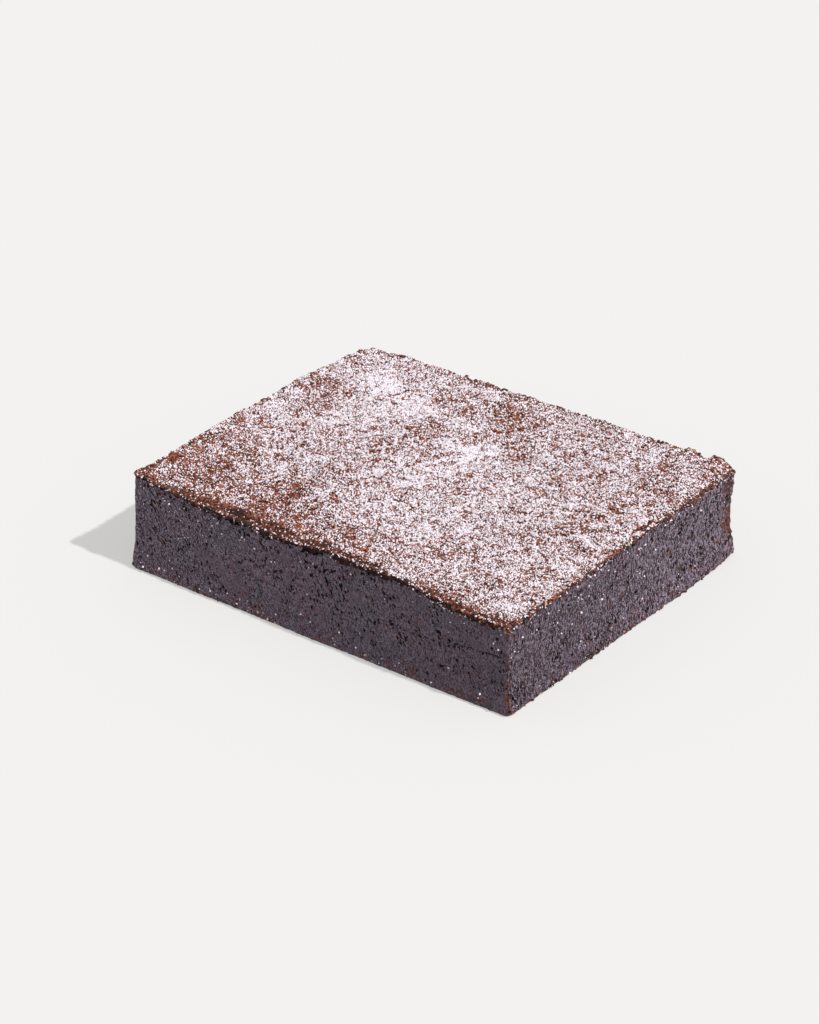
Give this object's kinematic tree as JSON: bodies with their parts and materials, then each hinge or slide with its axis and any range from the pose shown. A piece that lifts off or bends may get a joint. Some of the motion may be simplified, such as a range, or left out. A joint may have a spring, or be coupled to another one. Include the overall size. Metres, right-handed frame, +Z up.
{
  "type": "chocolate brownie",
  "caption": "Square-cut slab of dense chocolate brownie with knife-cut sides and a thin baked crust dusted with icing sugar, lying flat on its base.",
  "frame": {"origin": "on the underside, below the middle of the slab's box", "axes": "+X along the longer cut sides, +Y along the shorter cut sides, +Z up out of the sugared crust"},
  "size_m": [0.0934, 0.0784, 0.0211],
  "materials": {
    "crumb": "matte dark purple-grey cut crumb with fine black pores and knife drag marks",
    "crust": "thin papery red-brown baked crust with a soft sheen",
    "sugar": "fine matte white icing sugar, sifted unevenly"
  },
  "bodies": {
    "root": {"brownie": "crumb"}
  },
  "joints": []
}
